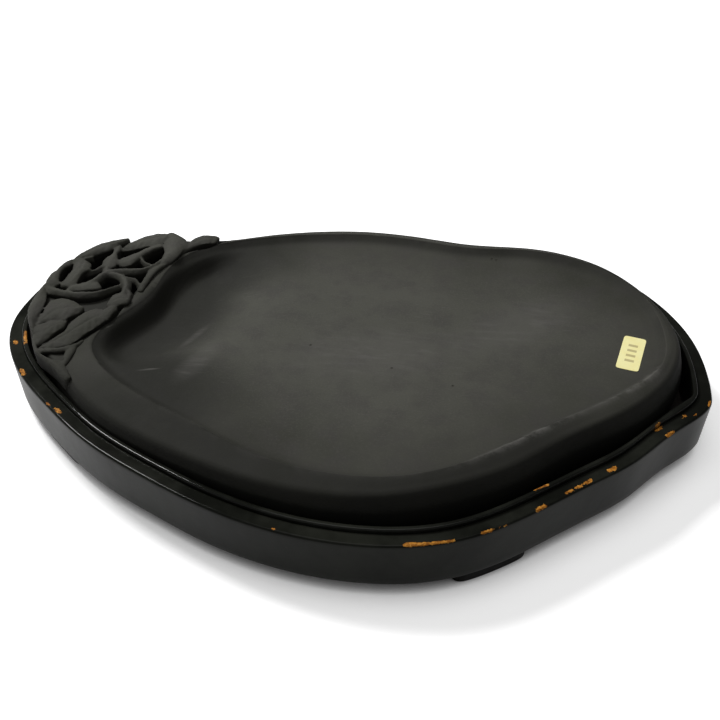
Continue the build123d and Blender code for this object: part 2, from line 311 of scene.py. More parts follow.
# Each leaf in mm: its outline, its vein from base to tip, how far its left and right edges droop,
# the depth of the groove along its vein, and whether it has side veins
leaves = [
    # Outer leaf at the left end
    ([(-117.2, 19.9), (-118.0, 16.9), (-117.9, 11.3), (-117.3, 5.1), (-116.2, -0.4), (-113.6, -6.0),
      (-111.0, -10.1), (-108.6, -13.1), (-110.0, -8.7), (-110.9, -4.7), (-111.2, -0.4), (-111.3, 3.9),
      (-112.5, 9.1), (-115.2, 15.1)],
     [(-116.2, 16.2, 32.3), (-114.6, 4.5, 32.9), (-112.9, -5.0, 32.5), (-109.4, -11.6, 31.2)],
     0.9, 1.7, 0.0, False),
    # Outer band of the curled leaf
    ([(-112.7, 16.8), (-111.0, 18.5), (-112.4, 21.1), (-113.2, 25.8), (-112.7, 29.1), (-111.6, 30.8),
      (-111.4, 34.2), (-112.9, 36.4), (-114.4, 34.6), (-115.4, 32.1), (-115.9, 29.0), (-116.2, 26.1),
      (-117.2, 25.2), (-117.4, 22.0), (-117.2, 19.0), (-115.7, 16.4)],
     [(-115.0, 17.6, 32.4), (-114.4, 20.4, 33.1), (-114.2, 26.4, 33.3), (-112.6, 34.0, 32.9)],
     1.5, 0.8, 0.0, False),
    # Inner band of the curled leaf
    ([(-111.0, 31.8), (-109.9, 28.2), (-109.9, 24.9), (-110.2, 21.4), (-111.0, 19.4), (-110.2, 16.6),
      (-107.4, 16.0), (-105.4, 15.7), (-104.7, 18.3), (-104.7, 22.0), (-104.5, 25.9), (-103.2, 28.0),
      (-103.5, 32.1), (-106.2, 34.3), (-109.7, 36.8), (-112.7, 35.0)],
     [(-107.1, 33.2, 33.4), (-106.6, 27.7, 33.7), (-107.3, 20.9, 33.4), (-109.1, 17.2, 32.8)],
     1.0, 1.1, 0.4, False),
    # Long leaf along the back edge
    ([(-109.8, 35.4), (-107.3, 36.7), (-105.2, 39.1), (-103.0, 41.2), (-100.7, 43.2), (-98.9, 46.3),
      (-96.8, 49.8), (-95.1, 52.4), (-96.9, 54.9), (-100.3, 53.3), (-103.9, 50.7), (-108.0, 46.7),
      (-110.8, 42.5), (-112.5, 39.7), (-113.0, 36.6)],
     [(-111.5, 35.9, 32.7), (-107.4, 40.9, 33.5), (-101.7, 46.9, 33.7), (-96.0, 53.0, 33.0)],
     1.9, 1.5, 0.5, True),
    # Knot with its upright shoot
    ([(-98.1, 30.9), (-95.6, 30.7), (-94.0, 32.9), (-94.6, 36.6), (-96.2, 40.4), (-96.1, 43.7),
      (-97.2, 47.9), (-99.0, 45.4), (-98.4, 40.1), (-99.6, 37.3), (-100.1, 33.5)],
     [(-97.0, 32.5, 33.3), (-96.8, 37.9, 33.8), (-97.3, 45.7, 33.1)],
     0.8, 0.8, 0.0, False),
    # Upper part of the big leaf
    ([(-95.8, 48.5), (-96.5, 44.8), (-94.0, 44.8), (-91.1, 45.8), (-88.2, 47.0), (-84.4, 48.8),
      (-81.0, 51.2), (-79.8, 55.3), (-81.8, 59.2), (-85.3, 59.0), (-89.1, 56.9), (-92.2, 54.3),
      (-94.7, 51.4)],
     [(-95.0, 47.6, 32.8), (-90.4, 50.6, 33.6), (-85.0, 53.6, 34.0), (-81.2, 55.6, 33.9)],
     1.6, 1.0, 0.5, True),
    # Lower part of the big leaf
    ([(-92.2, 32.9), (-89.2, 33.7), (-87.8, 35.9), (-86.6, 38.7), (-85.0, 42.3), (-82.9, 45.7),
      (-80.3, 48.4), (-81.0, 50.6), (-84.4, 48.8), (-86.8, 46.2), (-89.0, 42.8), (-91.5, 40.4),
      (-94.1, 38.6), (-94.8, 35.6)],
     [(-93.3, 34.9, 33.0), (-89.4, 37.8, 33.6), (-85.9, 43.4, 33.7), (-81.2, 48.6, 33.5)],
     0.9, 1.0, 0.3, False),
    # Tip lobe of the big leaf
    ([(-81.0, 53.2), (-80.0, 48.1), (-78.4, 44.1), (-78.6, 39.0), (-77.8, 35.7), (-76.3, 35.2),
      (-75.3, 37.3), (-73.7, 39.2), (-72.5, 42.4), (-71.6, 46.6), (-71.4, 51.4), (-72.3, 54.9),
      (-75.2, 57.7), (-78.9, 60.0), (-81.6, 58.9)],
     [(-76.8, 38.2, 33.0), (-75.7, 43.9, 33.8), (-75.9, 50.1, 34.0), (-77.9, 56.5, 33.6)],
     0.9, 1.3, 0.0, False),
    # Leaf at the back beside the dish
    ([(-72.7, 51.1), (-73.3, 47.9), (-74.4, 43.5), (-73.2, 42.8), (-71.3, 46.8), (-69.1, 50.4),
      (-66.0, 52.9), (-63.0, 54.3), (-60.9, 55.6), (-60.4, 58.6), (-61.0, 61.6), (-64.4, 62.2),
      (-67.2, 61.5), (-69.5, 59.6), (-71.4, 56.6), (-72.5, 53.8)],
     [(-72.8, 45.3, 32.2), (-69.9, 52.2, 32.9), (-66.0, 56.6, 33.3), (-62.0, 58.8, 32.8)],
     1.6, 0.8, 0.5, True),
    # Spray beside the fringe
    ([(-79.2, 18.0), (-78.7, 21.3), (-78.3, 26.1), (-77.6, 30.5), (-76.4, 34.1), (-75.1, 37.7),
      (-76.3, 38.8), (-78.0, 36.8), (-79.8, 33.8), (-80.8, 31.0), (-81.1, 27.1), (-81.3, 22.8),
      (-81.5, 18.6)],
     [(-80.3, 19.1, 32.2), (-79.6, 26.4, 32.7), (-78.2, 32.3, 32.9), (-76.2, 36.9, 32.6)],
     0.8, 0.6, 0.2, False),
    # Web between the two branches
    ([(-102.3, 14.2), (-98.0, 15.2), (-94.5, 17.0), (-95.5, 19.1), (-97.8, 21.6), (-99.7, 22.6),
      (-101.5, 20.3), (-103.7, 19.2), (-105.8, 17.8), (-106.7, 14.9)],
     [(-105.1, 16.1, 32.8), (-100.8, 17.4, 33.1), (-96.6, 18.2, 32.9)],
     0.7, 0.7, 0.0, False),
    # Small leaf under the stalk
    ([(-85.9, 6.1), (-83.6, 7.5), (-81.5, 9.0), (-81.4, 11.9), (-83.3, 14.3), (-86.2, 15.1),
      (-88.2, 13.4), (-89.1, 10.6), (-88.9, 6.5)],
     [(-88.1, 7.8, 32.6), (-85.5, 10.4, 33.4), (-82.3, 11.0, 33.0)],
     0.9, 1.0, 0.4, False),
    # Small leaf beside the fringe
    ([(-87.6, -1.3), (-85.7, -1.0), (-84.7, 2.2), (-84.2, 5.4), (-85.8, 7.2), (-88.2, 6.0),
      (-89.3, 3.1), (-89.3, -0.1)],
     [(-88.0, 0.2, 32.1), (-86.8, 2.8, 32.8), (-85.6, 5.4, 32.6)],
     0.9, 0.9, 0.3, False),
    # First leaf of the fan
    ([(-110.5, 1.4), (-110.6, -2.5), (-110.8, -6.1), (-109.7, -8.5), (-108.4, -6.0), (-105.8, -4.5),
      (-103.3, -3.3), (-100.8, -3.7), (-99.3, -1.4), (-97.5, 1.7), (-96.7, 5.0), (-98.4, 6.3),
      (-102.3, 8.5), (-106.1, 9.0), (-109.2, 7.8), (-110.7, 6.0)],
     [(-109.7, -6.4, 31.3), (-106.9, -0.4, 32.4), (-102.6, 2.6, 32.8), (-97.9, 4.6, 32.0)],
     0.7, 1.1, 0.4, True),
    # Second leaf of the fan
    ([(-109.1, -11.5), (-107.2, -16.1), (-105.7, -17.9), (-104.1, -15.8), (-102.5, -13.2), (-100.8, -9.8),
      (-99.7, -6.7), (-100.1, -2.7), (-100.7, -4.0), (-103.3, -3.7), (-107.4, -5.8), (-109.8, -8.7)],
     [(-106.2, -15.8, 30.6), (-105.0, -11.4, 31.8), (-102.9, -7.9, 32.2), (-100.4, -4.9, 31.6)],
     0.8, 1.0, 0.3, True),
    # Third, broad leaf of the fan
    ([(-101.0, -19.1), (-97.0, -18.1), (-93.5, -16.0), (-91.8, -13.0), (-90.6, -10.3), (-88.8, -7.4),
      (-87.3, -4.3), (-86.3, -0.4), (-87.0, 2.8), (-89.0, 5.2), (-91.2, 6.2), (-93.6, 5.4),
      (-96.1, 2.6), (-97.9, -1.3), (-98.8, -4.5), (-99.1, -8.8), (-101.2, -12.4), (-103.1, -16.2),
      (-104.6, -19.3)],
     [(-103.7, -18.6, 30.6), (-98.2, -12.6, 31.5), (-93.9, -6.0, 32.1), (-90.4, -0.9, 32.2),
      (-87.6, 1.4, 31.8)],
     1.2, 0.9, 0.7, True),
    # Narrow leaf under the fan
    ([(-103.4, -21.6), (-100.6, -21.5), (-96.4, -21.2), (-93.1, -19.8), (-90.6, -17.1), (-89.7, -14.0),
      (-91.0, -13.2), (-91.8, -15.6), (-94.5, -17.5), (-97.7, -19.1), (-101.9, -19.4), (-104.6, -20.1)],
     [(-103.4, -20.6, 30.6), (-97.7, -20.2, 31.3), (-92.9, -18.2, 31.5), (-90.5, -14.2, 31.2)],
     0.7, 0.7, 0.0, False),
    # Ridge round the edge of the end
    ([(-107.9, -16.7), (-104.3, -22.0), (-99.4, -25.9), (-94.5, -29.8), (-89.3, -34.7), (-87.2, -33.6),
      (-90.5, -28.9), (-93.3, -25.7), (-96.4, -25.1), (-100.3, -23.8), (-104.0, -20.9), (-106.4, -16.5),
      (-109.8, -11.3)],
     [(-107.7, -14.9, 30.7), (-103.8, -21.7, 30.8), (-96.4, -27.0, 30.9), (-88.8, -33.2, 30.8)],
     0.5, 0.8, 0.0, False),
    # Bud beside the ridge
    ([(-91.1, -26.5), (-90.7, -23.2), (-90.8, -19.2), (-91.5, -16.0), (-93.4, -17.6), (-94.0, -20.4),
      (-93.6, -24.2), (-92.2, -28.1)],
     [(-92.2, -26.2, 30.8), (-92.3, -22.6, 31.5), (-91.8, -18.4, 31.3)],
     0.7, 0.7, 0.2, False),
]
# Each stem in mm: its run, and its width at its start and at its end
stem_steps = 9
stem_droop = 1.7
stem_swell = 0.12
stem_swells = 1.7
heading_reach = 0.03
stems = [
    ([(-115.9, 15.8, 32.0), (-110.2, 13.4, 32.9), (-105.3, 11.9, 33.3), (-101.2, 11.8, 33.3),
      (-97.4, 12.7, 33.2), (-93.6, 14.8, 32.9), (-89.0, 20.5, 32.2)], 4.2, 2.6),
    ([(-104.2, 15.6, 32.4), (-100.6, 18.0, 33.0), (-98.3, 22.3, 33.4), (-96.8, 25.5, 33.6),
      (-94.0, 27.8, 33.6)], 3.4, 3.6),
    ([(-97.4, 27.8, 33.2), (-91.7, 28.9, 33.6), (-87.2, 29.6, 33.6), (-82.9, 31.2, 33.4), (-79.9, 34.7, 33.2),
      (-77.3, 40.5, 33.0)], 3.6, 2.4),
    ([(-97.0, 27.1, 33.2), (-91.7, 26.1, 33.6), (-88.2, 24.2, 33.6), (-86.0, 20.7, 33.5), (-85.1, 17.0, 33.3),
      (-85.0, 10.8, 33.0)], 3.4, 4.0),
    ([(-87.8, 25.2, 33.0), (-83.8, 24.5, 32.6), (-80.6, 21.0, 31.9)], 2.6, 2.0),
    ([(-99.2, 33.2, 32.6), (-101.4, 29.6, 32.3), (-104.6, 27.6, 32.2)], 2.8, 1.8),
    ([(-113.6, 33.6, 32.6), (-109.2, 35.4, 32.5), (-105.4, 38.4, 32.5)], 2.4, 1.8),
    ([(-97.0, 31.0, 33.2), (-96.4, 28.6, 33.5), (-95.2, 26.4, 33.4)], 3.6, 3.4),
    ([(-106.6, 15.0, 32.6), (-105.4, 13.0, 33.0), (-103.6, 11.4, 33.2)], 3.0, 2.6),
    ([(-84.6, 17.0, 33.2), (-82.6, 14.6, 32.8), (-82.2, 11.0, 32.4)], 2.6, 2.0),
    ([(-87.4, 41.6, 33.0), (-84.6, 37.4, 32.8), (-80.6, 35.2, 32.8)], 1.9, 1.7),
]


def in_mm(points):
    """Turn a list of places in millimetres into vectors in metres."""
    return [Vector((*point, 0, 0)[:3]) * mm for point in points]


def along_run(run, share):
    """Give the place at a share of a smooth run through some points."""
    spans = len(run) - 1
    span = min(int(share * spans), spans - 1)
    t = share * spans - span
    a, b = run[span], run[span + 1]
    before = run[span - 1] if span else a + (a - b)
    after = run[span + 2] if span + 2 <= spans else b + (b - a)
    slope_a, slope_b = (b - before) / 2, (after - a) / 2
    return (
        a * (2 * t**3 - 3 * t**2 + 1) + slope_a * (t**3 - 2 * t**2 + t)
        + b * (3 * t**2 - 2 * t**3) + slope_b * (t**3 - t**2)
    )


def rounded_outline(points, steps_each=5):
    """Turn a closed run of corner places into a smooth outline."""
    ring = [points[-1], *points, points[0], points[1]]
    outline = []
    for index in range(1, len(ring) - 2):
        part = ring[index - 1 : index + 3]
        for step in range(steps_each):
            outline.append(along_run(part, (1 + step / steps_each) / 3))
    return outline


def prism(name, outline, foot, top):
    """Extrude an outline straight up between two levels."""
    return extruded_loops(name, [at_level(outline, foot), at_level(outline, top)])


def apply_modifier(piece, kind, **settings):
    """Add one modifier, set it and apply it."""
    pick(piece)
    modifier = piece.modifiers.new(kind.lower(), kind)
    for setting, value in settings.items():
        setattr(modifier, setting, value)
    bpy.ops.object.modifier_apply(modifier=modifier.name)


def combine(piece, other, operation):
    """Cut one closed piece with another, or fuse the two, and throw the other away."""
    apply_modifier(piece, "BOOLEAN", operation=operation, solver="MANIFOLD", object=other)
    bpy.data.objects.remove(other)


def leaf(outline, vein, droop_left, droop_right, groove, side_veins):
    """Model one leaf: its outline is extruded up from the ground, then inwards over a crown to its vein."""
    edge = rounded_outline(in_mm(outline))
    vein = in_mm(vein)
    vein_places = [along_run(vein, step / vein_steps) for step in range(vein_steps + 1)]
    length = sum((b - a).length for a, b in zip(vein, vein[1:]))
    nearest = []
    for point in edge:
        nearest.append(min(range(vein_steps + 1), key=lambda step: (vein_places[step] - point).xy.length))
    loops = [[], [], []]
    for point, step in zip(edge, nearest):
        middle = vein_places[step]
        heading = vein_places[min(step + 1, vein_steps)] - vein_places[max(step - 1, 0)]
        on_left = heading.xy.cross((point - middle).xy) > 0
        point.z = middle.z - (droop_left if on_left else droop_right) * mm
        ground = point.lerp(middle, undercut_shares[0])
        under = point.lerp(middle, undercut_shares[1])
        loops[0].append(Vector((ground.x, ground.y, foliage_foot)))
        loops[1].append(Vector((under.x, under.y, point.z - undercut_depth)))
        loops[2].append(point)
    for share in crown_shares:
        loop = []
        for point, step in zip(edge, nearest):
            middle = vein_places[step]
            place = point.lerp(middle, share)
            place.z = middle.z - (middle.z - point.z) * (1 - share) ** crown_bend
            place.z -= groove * mm * share**groove_bend
            if side_veins:
                outwards = (point - middle).xy.length * (1 - share) * side_vein_slant
                off_rib = (step / vein_steps * length + outwards) / side_vein_pitch % 1 - 0.5
                sunk = side_vein_depth * math.exp(-((off_rib / side_vein_width) ** 2))
                place.z -= sunk * 4 * share * (1 - share)
            loop.append(place)
        loops.append(loop)
    return extruded_loops("leaf", loops)


def stem(run, width_start, width_end):
    """Model one stem as a long narrow leaf along its run, whose width changes from end to end."""
    run = [Vector(point) for point in run]
    left, right = [], []
    for step in range(stem_steps + 1):
        share = step / stem_steps
        ahead = along_run(run, min(share + heading_reach, 1))
        heading = ahead - along_run(run, max(share - heading_reach, 0))
        width = width_start + (width_end - width_start) * share
        width *= 1 + stem_swell * math.sin(math.tau * (share * stem_swells + width_start))
        across = Vector((-heading.y, heading.x, 0)).normalized() * width / 2
        left.append(along_run(run, share) + across)
        right.append(along_run(run, share) - across)
    return leaf(right + left[::-1], run, stem_droop, stem_droop, 0.0, False)


for cutter_outline, level in ((carved_end, carved_level), (pierced_part, pierced_level)):
    combine(ink_block, prism("cutter", rounded_outline(in_mm(cutter_outline)), level, cut_top), "DIFFERENCE")
foliage_parts = [leaf(*leaf_sizes) for leaf_sizes in leaves]
foliage_parts += [stem(*stem_sizes) for stem_sizes in stems]
start_alone()
for part in foliage_parts:
    part.select_set(True)
foliage = foliage_parts[0]
bpy.context.view_layer.objects.active = foliage
bpy.ops.object.join()
apply_modifier(foliage, "REMESH", mode="VOXEL", voxel_size=foliage_voxel, use_smooth_shade=True)
apply_modifier(foliage, "SMOOTH", factor=0.5, iterations=1)
hand_worked(foliage, foliage_handwork)
combine(ink_block, foliage, "UNION")
ink_block.name = ink_block.data.name = "slate_stone"
shade(ink_block, stone_crease)


# Slate finish
# Dark grey slate ground matt: cloudy and faintly mottled, with fine grinding scratches, a few pits and
# pale marks, and pale edges that are partly rubbed wear and partly painted highlight; painted shade darkens
# it in places.
pit_radius = 0.7 * mm
pits = [(-11.9, -2.6), (17.7, -11.8), (38.8, -18.7), (48.8, 63.4), (50.6, 62.9)]
# Each pale mark: its middle, its turn in degrees, its half length and its half width, in mm
pale_marks = [
    ((-63.8, -24.3), 20, 5.0, 0.8), ((-55.5, 3.0), 70, 12.0, 2.5), ((-49.0, -17.0), 76, 17.0, 6.5),
    ((12.0, -4.0), 15, 42.0, 20.0), ((60.0, 20.0), 40, 38.0, 16.0),
]
# Where the rim's inner edge is palest, as rubbed wear and painted highlight: the turn and the half width of
# each stretch, in degrees
rub_and_highlight_stretches = [(325, 14), (353, 9)]
rub_and_highlight_reach = 1.5 * mm
rub_and_highlight_least = 0.1
# The dish is pale in the middle and darker towards its edge, as grinding wear and painted shade. Dried ink
# and painted shade darken the pool and lie along the edge; the sides and the bottom of the carving are
# darker, as dried ink and painted shade; the front of the rim is darker as painted shade alone; and the
# carving's highest parts are pale, as rubbed wear and painted highlight
wear_and_shade_reach = 45 * mm
pool_darkness = 0.85
pool_mouth = -58 * mm
pool_fade = 45 * mm
pool_dark_reach = 19 * mm
pool_dark_fade = 19 * mm
edge_ink_and_shade = 0.5
edge_ink_and_shade_reach = 6 * mm
dark_level = 31.4 * mm
dark_fade = 2.0 * mm
front_shade = 0.8
front_start = -16 * mm
front_fade = 34 * mm
handled_wear_and_highlight = 0.8
highlight_level = 32.3 * mm
highlight_fade = 1.8 * mm
slate_ground = (0.025, 0.0255, 0.019)
slate_worn_and_lit = (0.063, 0.0635, 0.0525)
slate_cloud = (0.081, 0.080, 0.068)
slate_mottle = (0.045, 0.042, 0.040)
slate_grain = (0.095, 0.091, 0.078)
dried_ink_and_shade = (0.0085, 0.0085, 0.0065)
mark_colour = (0.115, 0.110, 0.103)
scratch_colour = (0.11, 0.106, 0.10)
rub_and_highlight_colour = (0.13, 0.126, 0.117)
pit_colour = (0.016, 0.016, 0.010)


class Socket:
    """A socket in a material, which arithmetic and other nodes can be built on."""

    def __init__(self, tree, socket=None):
        self.tree = tree
        self.socket = socket

    def node(self, kind, settings, inputs, output=0):
        """Add a node of any kind: its settings come first, then the values or links of its sockets."""
        node = self.tree.nodes.new(kind)
        for setting, value in settings.items():
            setattr(node, setting, value)
        for key, value in inputs.items():
            if isinstance(value, Socket):
                self.tree.links.new(value.socket, node.inputs[key])
            else:
                node.inputs[key].default_value = value
        return Socket(self.tree, node.outputs[output]) if node.outputs else None

    def math(self, operation, first, second):
        return self.node("ShaderNodeMath", {"operation": operation}, {0: first, 1: second})

    def __add__(self, other):
        return self.math("ADD", self, other)

    def __radd__(self, other):
        return self.math("ADD", other, self)

    def __sub__(self, other):
        return self.math("SUBTRACT", self, other)

    def __rsub__(self, other):
        return self.math("SUBTRACT", other, self)

    def __mul__(self, other):
        return self.math("MULTIPLY", self, other)

    def __rmul__(self, other):
        return self.math("MULTIPLY", other, self)

    def speckle(self, grain, detail=4.0, roughness=0.6):
        """Give a noise between 0 and 1 on these coordinates, with grains of a size."""
        inputs = {"Vector": self, "Scale": 1 / grain, "Detail": detail, "Roughness": roughness}
        return self.node("ShaderNodeTexNoise", {}, inputs)

    def stretched(self, scale, turn=0.0):
        """Turn these coordinates about the upright and squeeze them along their axes."""
        return self.node("ShaderNodeMapping", {}, {"Vector": self, "Rotation": (0, 0, turn), "Scale": scale})

    def window(self, low, high):
        """Turn a value into a mask that rises from 0 at low to 1 at high."""
        settings = {"interpolation_type": "SMOOTHSTEP"}
        return self.node("ShaderNodeMapRange", settings, {"Value": self, "From Min": low, "From Max": high})

    def mixed(self, first, second):
        """Mix two colours by this mask."""
        first, second = ((*c, 1) if isinstance(c, tuple) else c for c in (first, second))
        return self.node("ShaderNodeMix", {"data_type": "RGBA"}, {0: self, 6: first, 7: second}, output=2)

    def mark(self, middle, turn, half_length, half_width):
        """Give a mask that is 1 inside an oval mark seen from above and fades out round it."""
        inputs = {
            "Vector": self, "Location": (middle[0] * mm, middle[1] * mm, 0),
            "Rotation": (0, 0, math.radians(turn)), "Scale": (half_length * mm, half_width * mm, 1),
        }
        place = self.node("ShaderNodeMapping", {"vector_type": "TEXTURE"}, inputs)
        away = place.node("ShaderNodeVectorMath", {"operation": "LENGTH"}, {0: place}, output="Value")
        return 1 - away.window(0.2, 1.0)


def new_finish(name):
    """Start a material and give its object coordinates."""
    material = bpy.data.materials.new(name)
    material.use_nodes = True
    material.node_tree.nodes.clear()
    start = Socket(material.node_tree)
    return material, start.node("ShaderNodeTexCoord", {}, {}, output="Object")


def close_finish(place, height, depth, inputs):
    """Finish a material with its bump and its shader."""
    normal = place.node("ShaderNodeBump", {}, {"Height": height, "Strength": 1.0, "Distance": depth})
    shader = place.node("ShaderNodeBsdfPrincipled", {}, {**inputs, "Normal": normal})
    place.node("ShaderNodeOutputMaterial", {}, {"Surface": shader})


def number_at(place, name):
    """Read a number that was worked out for every point of the piece."""
    return place.node("ShaderNodeAttribute", {"attribute_name": name}, {}, output="Fac")


def give_numbers(piece, name, numbers):
    """Keep one number for every point of a piece, for its material to read."""
    attribute = piece.data.attributes.new(name, "FLOAT", "POINT")
    attribute.data.foreach_set("value", numbers)


def dress(piece, material):
    """Give a piece one material alone."""
    piece.data.materials.clear()
    piece.data.materials.append(material)


edge_tree = KDTree(places_round)
for index, point in enumerate(dish_edge):
    edge_tree.insert(Vector((point.x, point.y, 0)), index)
edge_tree.balance()
rub_and_highlight, wear_and_painted_light, ink_and_shade = [], [], []
for vertex in ink_block.data.vertices:
    nearest, index, away = edge_tree.find(Vector((vertex.co.x, vertex.co.y, 0)))
    turn = math.degrees(math.atan2(vertex.co.y, vertex.co.x)) % 360
    # Painted highlight and rubbed wear: pale stretches along the rim's inner edge
    stretch = max(math.exp(-(((turn - middle) / half_width) ** 2)) for middle, half_width in rub_and_highlight_stretches)
    rub_and_highlight.append(math.exp(-((away / rub_and_highlight_reach) ** 2)) * (rub_and_highlight_least + (1 - rub_and_highlight_least) * stretch))
    if vertex.co.xy.length < nearest.xy.length:
        # Grinding wear and painted shade: the dish is paler in the middle and darker towards its edge
        wear_and_painted_light.append(smooth_share(away / wear_and_shade_reach))
        # Dried ink and painted shade: the pool darkens under the carving
        at_pool = 1 - smooth_share((vertex.co.x - pool_mouth) / pool_fade)
        pool_ink_and_shade = pool_darkness * at_pool * (1 - smooth_share((away - pool_dark_reach) / pool_dark_fade))
        # Painted shade and dried ink darken the dish's edge crease
        ink_and_shade.append(max(pool_ink_and_shade, edge_ink_and_shade * (1 - smooth_share(away / edge_ink_and_shade_reach))))
    else:
        # Painted highlight and rubbed wear: the carving's highest parts are paler
        wear_and_painted_light.append(handled_wear_and_highlight * smooth_share((vertex.co.z - highlight_level) / highlight_fade))
        # Painted shade: the front of the rim and stone is darker
        at_front = front_shade * smooth_share((front_start - vertex.co.y) / front_fade)
        # Painted shade and dried ink: the sides and the carved ground below the rim are darker
        ink_and_shade.append(max(at_front, smooth_share((dark_level - vertex.co.z - rim_dips[index]) / dark_fade)))
for name, numbers in (("rub_and_highlight", rub_and_highlight), ("wear_and_painted_light", wear_and_painted_light), ("ink_and_shade", ink_and_shade)):
    give_numbers(ink_block, name, numbers)

slate, place = new_finish("slate")
clouds = place.speckle(55 * mm, 3.0, 0.55).window(0.35, 0.68)
mottle = place.speckle(9 * mm, 4.0, 0.6).window(0.4, 0.7)
grain = place.speckle(0.7 * mm, 3.0, 0.7)
# Pale where wear and painted highlight are, dark where painted shade is
colour = number_at(place, "wear_and_painted_light").mixed(slate_ground, slate_worn_and_lit)
colour = (clouds * 0.4).mixed(colour, slate_cloud)
colour = (mottle * 0.45).mixed(colour, slate_mottle)
wear_and_light = number_at(place, "wear_and_painted_light")
colour = (grain.window(0.45, 0.75) * (0.12 + 0.3 * wear_and_light)).mixed(colour, slate_grain)
ink_and_shade_mask = number_at(place, "ink_and_shade") * (0.8 + 0.2 * clouds)
# Dried ink and painted shade in the pool, along the edge crease, on the sides, the rim's front and the carved
# ground
colour = ink_and_shade_mask.mixed(colour, dried_ink_and_shade)
smears = place.stretched((1, 5, 1), 0.5).speckle(14 * mm, 3.0, 0.6).window(0.45, 0.75)
for middle, turn, half_length, half_width in pale_marks:
    strength = 0.8 if half_width < 1 else 0.5
    patch = place.mark(middle, turn, half_length, half_width)
    colour = (patch * strength * (0.4 + 0.6 * smears)).mixed(colour, mark_colour)
scratches = place.stretched((1, 14, 1), 0.3).speckle(7 * mm, 2.0, 0.5).window(0.64, 0.72)
colour = (scratches * wear_and_light * 0.25).mixed(colour, scratch_colour)
# Painted highlight and rubbed wear along the rim's inner edge
rub_and_highlight_mask = number_at(place, "rub_and_highlight") * place.speckle(7 * mm, 4.0, 0.65).window(0.38, 0.62)
colour = (rub_and_highlight_mask * 0.65).mixed(colour, rub_and_highlight_colour)
hollows = None
for middle in pits:
    pit = place.mark(middle, 0, pit_radius / mm, pit_radius / mm)
    colour = (pit * 0.7).mixed(colour, pit_colour)
    hollows = pit if hollows is None else hollows + pit
roughness = 0.74 + 0.12 * place.speckle(4.5 * mm, 3.0, 0.6)
height = grain * 0.4 + place.speckle(2.4 * mm, 3.0, 0.6) - hollows * 3.0
close_finish(place, height, 0.07 * mm, {
    "Base Color": colour, "Roughness": roughness, "Specular IOR Level": 0.2,
})
dress(ink_block, slate)
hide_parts("ink_stone")
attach(ink_block, "stone")


# Paper label
# A slip of cream paper with rounded corners, cut out and pasted on the dish near its right end. Four
# plain strokes are printed across it.
label_length = 20.0 * mm
label_width = 8.0 * mm
label_corner = 1.6 * mm
label_turn = math.radians(77)
label_stands = 0.13 * mm
label_thickness = 0.12 * mm
dash_pitch = 3.0 * mm
dash_length = 1.3 * mm
dash_width = 3.2 * mm
dash_blur = 0.08 * mm
dash_end_blur = 0.03
label_crease = 40
paper_cream = (0.98, 0.92, 0.46)
paper_yellowed = (0.96, 0.87, 0.38)
paper_fibre = (0.96, 0.91, 0.52)
dash_colour = (0.30, 0.22, 0.10)
label_low, label_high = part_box("paper_label")
label_middle = (label_low + label_high) / 2
visible_stone = surface_of(ink_block)
start_alone()
bpy.ops.mesh.primitive_grid_add(x_subdivisions=60, y_subdivisions=24, size=1)
label = bpy.context.object
label.name = label.data.name = "label_slip"
bpy.ops.object.mode_set(mode="EDIT")
mesh = bmesh.from_edit_mesh(label.data)
along_layer = mesh.verts.layers.float.new("along")
across_layer = mesh.verts.layers.float.new("across")
long_axis = Vector((math.cos(label_turn), math.sin(label_turn), 0))
short_axis = Vector((-long_axis.y, long_axis.x, 0))
for vertex in mesh.verts:
    along = vertex.co.x * label_length
    across = vertex.co.y * label_width
    corner_along = max(abs(along) - (label_length / 2 - label_corner), 0)
    corner_across = max(abs(across) - (label_width / 2 - label_corner), 0)
    reach = math.hypot(corner_along, corner_across)
    if reach > label_corner:
        along -= math.copysign(corner_along * (1 - label_corner / reach), along)
        across -= math.copysign(corner_across * (1 - label_corner / reach), across)
    vertex[along_layer] = along
    vertex[across_layer] = across
    spot = label_middle + long_axis * along + short_axis * across
    spot.z = visible_stone.ray_cast(Vector((spot.x, spot.y, sky)), Vector((0, 0, -1)))[0].z + label_stands
    vertex.co = spot
bmesh.update_edit_mesh(label.data)
face_outwards()
apply_modifier(label, "SMOOTH", factor=0.5, iterations=8)
apply_modifier(label, "SOLIDIFY", thickness=label_thickness, offset=-1)
label_paper, place = new_finish("label_paper")
fibre = place.stretched((1, 3, 1), label_turn).speckle(0.9 * mm, 4.0, 0.6)
yellowing = place.speckle(6 * mm, 3.0, 0.6).window(0.35, 0.7)
colour = yellowing.mixed(paper_cream, paper_yellowed)
colour = (fibre * 0.2).mixed(colour, paper_fibre)
along = number_at(place, "along")
across = number_at(place, "across")
from_dash = place.math("ABSOLUTE", place.math("FRACT", along * (1 / dash_pitch), 0.0) - 0.5, 0.0)
dash_end = dash_length / dash_pitch / 2
dash = 1 - from_dash.window(dash_end - dash_end_blur, dash_end + dash_end_blur)
from_middle = place.math("ABSOLUTE", across, 0.0)
dash = dash * (1 - from_middle.window(dash_width / 2 - dash_blur, dash_width / 2 + dash_blur))
from_centre = place.math("ABSOLUTE", along, 0.0)
dash = dash * (1 - from_centre.window(dash_pitch * 2 - 0.1 * mm, dash_pitch * 2))
colour = (dash * 0.6).mixed(colour, dash_colour)
close_finish(place, fibre, 0.03 * mm, {"Base Color": colour, "Roughness": 0.8})
dress(label, label_paper)
shade(label, label_crease)
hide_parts("paper_label")
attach(label, "stone")


